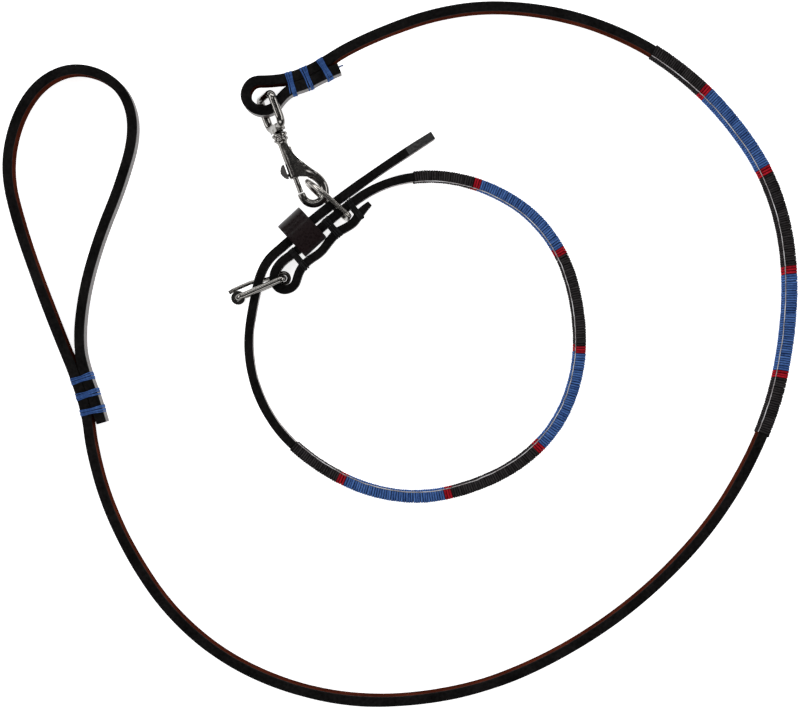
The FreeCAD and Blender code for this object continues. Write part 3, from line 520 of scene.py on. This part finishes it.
def whipping(name, line, up, half, start, end, mat, body, inner, pitch=1.2):
    """Close turns of waxed thread round the strap, as one helix."""
    thick, clear = 0.34, 0.02
    turns = max(3, round((end - start) / pitch))
    box, outward, _ = rounded_box((half + clear + thick) * MM, (STRAP / 2 + clear + thick) * MM, 1.1 * MM)
    per = len(box)
    total = turns * per
    index = np.arange(total + 1)
    slip = np.interp(np.arange(turns + 1), np.arange(turns + 1), rng.normal(0, 0.07, turns + 1))
    along = (start + (end - start) * index / total + np.interp(index / per, np.arange(turns + 1), slip)) * MM
    along = np.clip(along, (start + 0.1) * MM, (end - 0.1) * MM)
    k = index % per
    way = line.way(along)
    side = left_of(way, up)
    ups = np.broadcast_to(up, side.shape)
    swell = np.interp(index / per, np.arange(turns + 1), rng.normal(0, 0.05, turns + 1)) * MM
    centres = (line.at(along) + side * (box[k, 0:1] + outward[k, 0:1] * swell[:, None])
               + ups * (box[k, 1:2] + outward[k, 1:2] * swell[:, None]))
    radial = side * outward[k, 0:1] + ups * outward[k, 1:2]
    wide = 0.52 * (end - start) / turns * MM
    section = circle(THREAD_SIDES, wide, thick * MM)
    obj = swept(f"{name}_thread", centres, way, radial, section, [mat], unit_v=True)
    # The pale strand joined on here is a painted highlight along the inner top corner.
    obj = joined([obj, highlight_line_strand(name, line, up, half, start, end, inner)])
    return settle(obj, name, body)


def highlight_line_strand(name, line, up, half, start, end, inner):
    """Pale strand laid along the strap's upper corner on its inner side, over the whipping: a painted
    highlight.
    """
    where = np.linspace(start + 0.1, end - 0.1, max(4, int(end - start))) * MM
    way = line.way(where)
    side = left_of(way, up)
    ups = np.broadcast_to(up, side.shape)
    drift = np.interp(where, np.linspace(where[0], where[-1], 12), rng.normal(0, 0.10, 12)) * MM
    out = (half + 0.46) * MM - np.abs(drift)
    rise = (STRAP / 2 + 0.36) * MM + drift * 0.3
    centres = line.at(where) + side * (inner * out[:, None]) + ups * rise[:, None]
    section = circle(THREAD_SIDES, 0.24 * MM, 0.24 * MM)
    return swept(f"{name}_highlight_line", centres, side, ups, section, [PAINTED_HIGHLIGHT], unit_v=True)


def stitch(name, line, up, half, where, layer, mat, body, strands=6, tail=None):
    """A few strands of thread sewn round two layers of the strap, pulled in at the seam.

    layer is the stretch of the line, in mm, that holds the second layer; tail is the loose end's start
    and reach, as (across, forward, across, forward) in mm.
    """
    first = line.at(where * MM)
    search = np.arange(layer[0], layer[1], 0.25) * MM
    others = line.at(search)
    second = others[np.argmin(np.linalg.norm(others - first, axis=1))]
    across = (second - first) - up * np.dot(second - first, up)
    spread = np.linalg.norm(across)
    across = across / spread
    forward = np.cross(across, up)
    middle = (first + second) / 2
    pieces = []
    radius = 0.2 * MM
    gap = radius + 0.02 * MM
    half_across = spread / 2 + (half - 0.15) * MM + gap
    for number in range(strands):
        box, outward, _ = rounded_box(half_across, STRAP / 2 * MM + gap, 1.3 * MM, 5, 10, 8)
        slot = (number - (strands - 1) / 2) * 0.56
        ends = {1: slot * 1.1 + random.uniform(-0.3, 0.3), -1: slot * 1.0 + random.uniform(-0.45, 0.45)}
        turn = box[:, 0] / box[:, 0].max()
        pinch = 1 - 0.2 * np.exp(-(box[:, 0] / (2.6 * MM)) ** 2) * (box[:, 1] > 0)
        offset = (ends[1] * (1 + turn) / 2 + ends[-1] * (1 - turn) / 2) * pinch * MM
        top = np.clip(np.sign(box[:, 1]), 0, 1)
        dip = 0.1 * MM * np.exp(-(box[:, 0] / (1.3 * MM)) ** 2)
        lift = 0.05 * (number % 3) * MM
        centres = (middle + across * (box[:, 0:1] + outward[:, 0:1] * lift)
                   + up * (box[:, 1:2] - (dip * top)[:, None] + outward[:, 1:2] * lift)
                   + forward * offset[:, None])
        radial = across * outward[:, 0:1] + up * outward[:, 1:2]
        along = np.broadcast_to(forward, radial.shape)
        section = circle(THREAD_SIDES, 0.33 * MM, radius)
        pieces.append(swept(f"{name}_strand{number}", centres, along, radial, section, [mat], closed=True,
                            unit_v=True))
    if tail is not None:
        start = middle + across * tail[0] * MM + forward * tail[1] * MM + up * (STRAP / 2 - 0.5) * MM
        steps = np.linspace(0, 1, 9)[:, None]
        reach = across * tail[2] * MM + forward * tail[3] * MM
        centres = start + reach * steps + np.cross(reach, up) * 0.3 * steps ** 2
        way = reach / np.linalg.norm(reach)
        side = np.broadcast_to(np.cross(up, way), centres.shape)
        pieces.append(swept(f"{name}_tail", centres, side, np.broadcast_to(up, centres.shape),
                            circle(6, 0.4 * MM, 0.4 * MM), [mat], unit_v=True))
    obj = joined(pieces)
    obj.name = f"{name}_thread"
    return settle(obj, name, body)


# ---------------------------------------------------------------- straps, threads

lead_line = Line("lead_line", [(x, y, z + STRAP / 2) for x, y, z in LEAD_ROUTE])
collar_line = Line("collar_line", [on_collar(x, y, STRAP / 2) for x, y in COLLAR_ROUTE])

lead_scale = lead_line.length / MM / LEAD_LENGTH
collar_scale = collar_line.length / MM / COLLAR_LENGTH

lead = strap("lead_leather", lead_line, UP, LEAD_HALF, [EDGE, GRAIN, FLESH], True, "lead", "lead_strap",
             close_up=True)


def fold_cutter():
    """Cutter for the slot in the buckle fold, which the tongue passes through."""
    slot_reach, half_depth, half_height = 9.5, 3.2, 2.3
    where = np.linspace(collar_line.length - 92 * MM, collar_line.length - 58 * MM, 120)
    apart = collar_line.at(where) - np.array(on_collar(*BUCKLE_AT, STRAP / 2)) * MM
    where = where[np.linalg.norm(apart, axis=1) < slot_reach * MM]
    way = collar_line.way(where)
    side = left_of(way, COLLAR_UP)
    outline = np.array([(1, 1), (-1, 1), (-1, -1), (1, -1)]) * (half_depth * MM, half_height * MM)
    return swept("fold_slot", collar_line.at(where), side, np.broadcast_to(COLLAR_UP, side.shape), outline,
                 [])


PUNCH_REACH, HOLE_RADIUS, SLOT_HALF = 4 * MM, 1.7 * MM, 3.8 * MM
punches = [punch(collar_line, COLLAR_UP, (TONGUE_HOLE_AT + step * HOLE_SPACING) * MM * collar_scale,
                 PUNCH_REACH, HOLE_RADIUS, HOLE_RADIUS, True) for step in HOLE_STEPS]
punches.append(punch(collar_line, COLLAR_UP, TONGUE_HOLE_AT * MM * collar_scale, PUNCH_REACH, SLOT_HALF,
                     HOLE_RADIUS, False))
strap("collar_leather", collar_line, COLLAR_UP, COLLAR_HALF, [EDGE, GRAIN, COLLAR_FLESH_PAINTED_SHEEN, SCUFFED], False,
      "collar", "collar_strap", skive=(9 * MM, 0.6), cutters=punches + [fold_cutter()], worn=15 * MM)

TONES = {"black": BLACK, "red": RED, "blue": BLUE}
for name, start, end in LEAD_WRAPS:
    whipping(name, lead_line, UP, LEAD_HALF, start * lead_scale, end * lead_scale,
                                TONES[name.split("_")[2]], "lead", -1)
for name, start, end in COLLAR_WRAPS:
    whipping(name, collar_line, COLLAR_UP, COLLAR_HALF, start * collar_scale, end * collar_scale,
             TONES[name.split("_")[2]], "collar", 1)

for number, where in enumerate((6.1, 16.8, 25.4), start=1):
    tail = (-3.4, 5.2, 0.6, 3.0) if number == 1 else None
    stitch(f"snap_stitch_{number}", lead_line, UP, LEAD_HALF, where, (60, 130),
                              BLUE, "lead", tail=tail)
lead_mm = lead_line.length / MM
for number, back in enumerate((24.1, 15.8, 7.0), start=1):
    stitch(f"handle_stitch_{number}", lead_line, UP, LEAD_HALF, lead_mm - back,
                              (930, 1040), BLUE, "lead")
collar_mm = collar_line.length / MM
for name, back in (("collar_stitch_buckle", 46.2), ("collar_stitch_ring_1", 22.2),
                   ("collar_stitch_ring_2", 8.0)):
    stitch(name, collar_line, COLLAR_UP, COLLAR_HALF, collar_mm - back, (510, 612), DARK_STITCH, "collar")

# ---------------------------------------------------------------- keeper


def keeper_band():
    """Leather loop round the strap and its tail: domed on its free side, folded tight on the other."""
    wall, width, depth, height = 2.0, 14.5, 20.6, 20.8
    dome, fold, arc_steps, off_centre = 7.6, 1.6, 12, 0.9
    half_depth, half_height = (depth - wall) / 2, (height - wall) / 2
    middle = collar_line.at(KEEPER_AT * MM * collar_scale)
    way = collar_line.way(KEEPER_AT * MM)
    side = left_of(way, COLLAR_UP)
    corners = ((half_depth - fold, half_height - fold, fold, 0),
               (dome - half_depth, half_height - dome, dome, 90),
               (dome - half_depth, dome - half_height, dome, 180),
               (half_depth - fold, fold - half_height, fold, 270))
    outline = []
    for centre_a, centre_b, radius, start in corners:
        for k in range(arc_steps + 1):
            angle = math.radians(start + 90 * k / arc_steps)
            outline.append((centre_a + radius * math.cos(angle), centre_b + radius * math.sin(angle), angle))
    outline = np.array(outline)
    centres = middle + side * ((outline[:, 0:1] + off_centre) * MM) + COLLAR_UP * (outline[:, 1:2] * MM)
    radial = side * np.cos(outline[:, 2:3]) + COLLAR_UP * np.sin(outline[:, 2:3])
    band, _, _ = rounded_box(width / 2 * MM, wall / 2 * MM, 0.55 * MM, 4, 10, 2)
    keeper = swept("keeper_leather_band", centres, np.broadcast_to(way, radial.shape), radial, band,
                   [KEEPER], closed=True)
    return settle(keeper, "collar_keeper", "keeper")


keeper_band()

# ---------------------------------------------------------------- hardware

snap_place = Matrix.Translation(SNAP_AT) @ Matrix.Rotation(SNAP_TURN, 4, "Z")


def lathe(name, profile, turns=48):
    """Closed solid of revolution about X from (x, radius) points, in mm, in the snap's frame."""
    profile = np.array(profile)
    centres = np.stack([profile[:, 0], 0 * profile[:, 0], 0 * profile[:, 0]], axis=-1)
    section = circle(turns, 1, 1)[None] * profile[:, 1][:, None, None]
    axis_a = np.tile((0.0, 1.0, 0.0), (len(profile), 1))
    axis_b = np.tile((0.0, 0.0, 1.0), (len(profile), 1))
    return swept(name, centres, axis_a, axis_b, section, [])


def bent_bar(name, points, radii, turns=28):
    """Round bar that follows points in the snap's plane, with a radius at each."""
    points, radii = np.array(points), np.array(radii)
    where = np.linspace(0, 1, len(points))
    fine = np.linspace(0, 1, 120)
    centres = np.stack([np.interp(fine, where, points[:, 0]), np.interp(fine, where, points[:, 1]),
                        0 * fine], axis=-1)
    for _ in range(12):
        centres[1:-1] = (centres[:-2] + 2 * centres[1:-1] + centres[2:]) / 4
    radius = np.interp(fine, where, radii)
    way = np.gradient(centres, axis=0)
    way /= np.linalg.norm(way, axis=1, keepdims=True)
    up = np.tile((0.0, 0.0, 1.0), (len(fine), 1))
    section = circle(turns, 1, 1)[None] * radius[:, None, None]
    return swept(name, centres, np.cross(up, way), up, section, [])


def plate(name, outline, half):
    """Flat plate with a closed outline, half its thickness each side of the snap's plane."""
    count = len(outline)
    verts = [(x, y, -half) for x, y in outline] + [(x, y, half) for x, y in outline]
    faces = [list(range(count))[::-1], list(range(count, 2 * count))]
    faces += [[k, (k + 1) % count, (k + 1) % count + count, k + count] for k in range(count)]
    mesh = bpy.data.meshes.new(name)
    mesh.from_pydata(verts, [], faces)
    return link(name, mesh, [])


def arc_points(centre, radius, start, end, count):
    """Points along an arc, from one angle to the other in degrees."""
    angles = np.radians(np.linspace(start, end, count))
    return [(centre[0] + radius * math.cos(angle), centre[1] + radius * math.sin(angle))
            for angle in angles]


def casting(name, parts, cuts, smoothing, place, node, body):
    """Solids run together as one soft-edged casting, with bores cut afterwards."""
    solid = joined(parts)
    remesh = solid.modifiers.new("cast", "REMESH")
    remesh.mode = "VOXEL"
    remesh.voxel_size = 0.17
    soften = solid.modifiers.new("soften", "SMOOTH")
    soften.factor = 0.5
    soften.iterations = smoothing
    baked(solid)
    for cutter in cuts:
        cut = solid.modifiers.new(cutter.name, "BOOLEAN")
        cut.operation = "DIFFERENCE"
        cut.solver = "EXACT"
        cut.object = cutter
    baked(solid)
    for cutter in cuts:
        bpy.data.objects.remove(cutter)
    solid.data.transform(Matrix.Scale(MM, 4) @ place)
    solid.data.materials.clear()
    solid.data.materials.append(NICKEL)
    solid.data.polygons.foreach_set("use_smooth", np.ones(len(solid.data.polygons), dtype=bool))
    solid.data.set_sharp_from_angle(angle=math.radians(50))
    solid.name = name
    return settle(solid, node, body)


def cast_snap():
    """Snap body: flange, tapering barrel, web and hook run together as one casting."""
    flange = lathe("snap_flange", [
        (-2.4, 0.2), (-2.4, 3.2), (-2.1, 3.8), (-1.7, 4.05), (-0.9, 4.05), (-0.5, 3.7), (-0.1, 3.2),
        (0.2, 3.2), (0.6, 3.7), (1.0, 3.85), (1.5, 3.75), (2.0, 3.1), (2.8, 2.5), (5.0, 2.4), (5.0, 0.2)])
    barrel = lathe("snap_barrel", [
        (1.0, 0.2), (1.0, 2.5), (6.0, 2.42), (14.0, 2.62), (20.6, 2.72), (21.4, 2.6), (21.7, 2.3),
        (21.7, 0.2)])
    path = arc_points((8.6, 18.6), 17.0, -100, -39.6, 16)
    path += arc_points((31.1, 0.0), 11.9, 140.4, 90, 12)[1:]
    path += arc_points((31.3, 5.85), 5.85, 90, -90, 26)[1:]
    path += [(30.6, 0.0), (29.8, 0.0)]
    radii = np.interp(np.arange(len(path)), [0, 15, 27, 40, len(path) - 1], [1.6, 2.5, 2.2, 2.1, 2.0])
    hook = bent_bar("snap_hook", path, radii)
    web = plate("snap_web", [
        (3.0, -1.6), (3.0, 1.9), (6.5, 2.6), (9.6, 3.4), (12.5, 4.6), (17.2, 7.6), (21.0, 10.1),
        (24.5, 10.9), (23.6, 7.0), (22.6, 4.4), (21.7, 2.2), (21.4, -1.6)], 2.35)
    slot_cut = plate("slot_cut", [(10.7, -5.0), (20.1, -5.0), (20.1, -0.8), (10.7, -0.8)], 0.9)
    bore_cut = lathe("bore_cut", [(5.4, 0.01), (5.4, 1.45), (26.0, 1.45), (26.0, 0.01)], 40)
    stem_cut = lathe("stem_cut", [
        (-4.0, 0.01), (-4.0, 1.35), (2.4, 1.35), (2.4, 1.8), (4.3, 1.8), (4.3, 0.01)], 40)
    cuts = [bore_cut, stem_cut, slot_cut]
    for face in (-1, 1):
        cuts.append(web_hollow(face))
    return casting("snap_casting", [flange, barrel, hook, web], cuts, 14, snap_place, "snap_body", "snap")


def web_hollow(face):
    """Cutter for the shallow hollow in one face of the snap's web."""
    hollow = lathe("hollow", [
        (0.0, 0.01), (2.0, 0.9), (4.5, 1.6), (8.5, 2.0), (12.5, 1.6), (15.0, 0.9), (17.0, 0.01)], 40)
    turn = Matrix.Rotation(math.radians(23.0), 4, "Z")
    hollow.data.transform(Matrix.Translation((5.6, 1.6, face * 3.8)) @ turn)
    return hollow


def cast_eye():
    """Swivel eye: an oval bar bent into a loop, a block at its foot and a turned stem."""
    corners = arc_points((-18.8, 7.65), 3.2, 180, 90, 9) + arc_points((-9.6, 6.65), 4.2, 90, 0, 11)
    corners += [(x, -y) for x, y in corners[::-1]]
    loop = np.array(corners)
    ways = np.roll(loop, -1, axis=0) - np.roll(loop, 1, axis=0)
    ways /= np.linalg.norm(ways, axis=1, keepdims=True)
    loop = np.column_stack([loop[:, 0], 0 * loop[:, 0], loop[:, 1]])
    loop[:, 2] *= EYE_HALF_SPAN / loop[:, 2].max()
    ways = np.column_stack([ways[:, 0], 0 * ways[:, 0], ways[:, 1]])
    side = np.tile((0.0, 1.0, 0.0), (len(loop), 1))
    bar = swept("eye_bar", loop, side, np.cross(ways, side), circle(28, 2.1, 1.7), [], closed=True)
    block = plate("eye_block", [
        (-7.2, -1.9), (-4.6, -2.5), (-3.1, -2.6), (-3.1, 2.6), (-4.6, 2.5), (-7.2, 1.9)], 5.6)
    stem = lathe("eye_stem", [
        (-5.0, 0.1), (-5.0, 2.9), (-3.0, 2.9), (-2.6, 2.5), (-2.6, 1.25), (2.55, 1.25), (2.55, 1.7),
        (3.9, 1.5), (4.1, 1.2), (4.1, 0.1)])
    roll = snap_place @ Matrix.Rotation(EYE_ROLL, 4, "X")
    return casting("eye_casting", [bar, block, stem], [], 12, roll, "swivel_eye", "eye")


def ridged_stud():
    """Thumb stud: a half-round pad with ridges across it, on a shank pressed into the bolt."""
    steps, start, reach, base, rise = 24, 13.4, 7.3, -3.9, 2.3
    outline = [(20.9, -3.1), (start, -3.1)]
    for k in range(steps + 1):
        share = k / steps
        notch = 0.32 if k % 4 == 2 else 0.0
        dome = math.sin(math.pi * (share * 0.92 + 0.02)) ** 0.8
        flat = 0.5 * share - 0.2 if share > 0.6 else 0.0
        outline.append((start + reach * share, base - (rise - notch) * dome + flat))
    pad = plate("stud_pad", outline[::-1], 2.0)
    bevel = pad.modifiers.new("bevel", "BEVEL")
    bevel.width = 0.3
    bevel.segments = 2
    baked(pad)
    shank = lathe("stud_shank", [(0.0, 0.01), (0.0, 0.75), (2.7, 0.75), (2.7, 0.01)], 24)
    shank.data.transform(Matrix.Translation((19.2, -1.0, 0)) @ Matrix.Rotation(math.radians(-90), 4, "Z"))
    stud = joined([pad, shank])
    stud.data.transform(Matrix.Scale(MM, 4) @ snap_place)
    stud.data.materials.clear()
    stud.data.materials.append(STUD)
    stud.name = "ridged_stud"
    return settle(stud, "bolt_stud", "bolt")


cast_snap()
cast_eye()
ridged_stud()

for node, mat in (("snap_bolt", NICKEL), ("bolt_spring", SPRING), ("d_ring", SATIN),
                  ("buckle_frame", NICKEL), ("buckle_roller", NICKEL), ("buckle_tongue", NICKEL)):
    for slot_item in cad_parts[node].material_slots:
        slot_item.material = mat

# ---------------------------------------------------------------- floor, light and camera

floor_mat, nodes, links, bsdf = shader("floor_paper", (0.92, 0.92, 0.92), 0.9)
bsdf.inputs["Emission Color"].default_value = (1.0, 1.0, 1.0, 1.0)
bsdf.inputs["Emission Strength"].default_value = 0.8
coords = nodes.new("ShaderNodeTexCoord").outputs["Object"]
links.new(bump(nodes, links, noise(nodes, links, coords, 900.0, 4.0), 0.00002, 0.2), bsdf.inputs["Normal"])
bpy.ops.mesh.primitive_plane_add(size=6.0, location=(0, 0, -0.0001))
floor = bpy.context.object
floor.name = "floor"
floor.data.materials.append(floor_mat)

world = bpy.data.worlds.new("studio")
bpy.context.scene.world = world
world.use_nodes = True
world.node_tree.nodes["Background"].inputs["Color"].default_value = (1.0, 1.0, 1.0, 1.0)
world.node_tree.nodes["Background"].inputs["Strength"].default_value = 0.06


def softbox(name, place, width, height, power):
    """Wide soft light, in metres and watts, that faces the middle of the floor."""
    light = bpy.data.lights.new(name, "AREA")
    light.shape = "RECTANGLE"
    light.size, light.size_y = width, height
    light.energy = power
    obj = bpy.data.objects.new(name, light)
    obj.location = place
    obj.rotation_euler = (-Vector(place)).to_track_quat("-Z", "Y").to_euler()
    bpy.context.collection.objects.link(obj)


softbox("left", (-1.5, 0.3, 1.0), 1.6, 0.7, 15.0)
softbox("right", (1.5, 0.2, 1.0), 1.6, 0.7, 13.5)
softbox("back", (0.0, 1.5, 1.0), 1.8, 0.7, 15.0)
softbox("front", (0.0, -1.5, 1.0), 1.8, 0.7, 12.0)
softbox("high", (-0.3, 0.5, 1.9), 1.1, 0.28, 2.6)
bpy.context.scene.view_settings.view_transform = "Standard"

camera_data = bpy.data.cameras.new("camera")
camera = bpy.data.objects.new("camera", camera_data)
bpy.context.collection.objects.link(camera)
bpy.context.scene.camera = camera
CAMERA_HEIGHT = 1.45
VIEW_LEVEL = 0.016  # height of the straps' top edge, where the view is this wide:
VIEW_WIDTH = 0.4
camera.location = (0.00075, 0.00025, CAMERA_HEIGHT)
camera.rotation_euler = (0, 0, 0)
camera_data.sensor_width = 36.0
camera_data.lens = camera_data.sensor_width * (CAMERA_HEIGHT - VIEW_LEVEL) / VIEW_WIDTH
camera_data.clip_end = 20.0
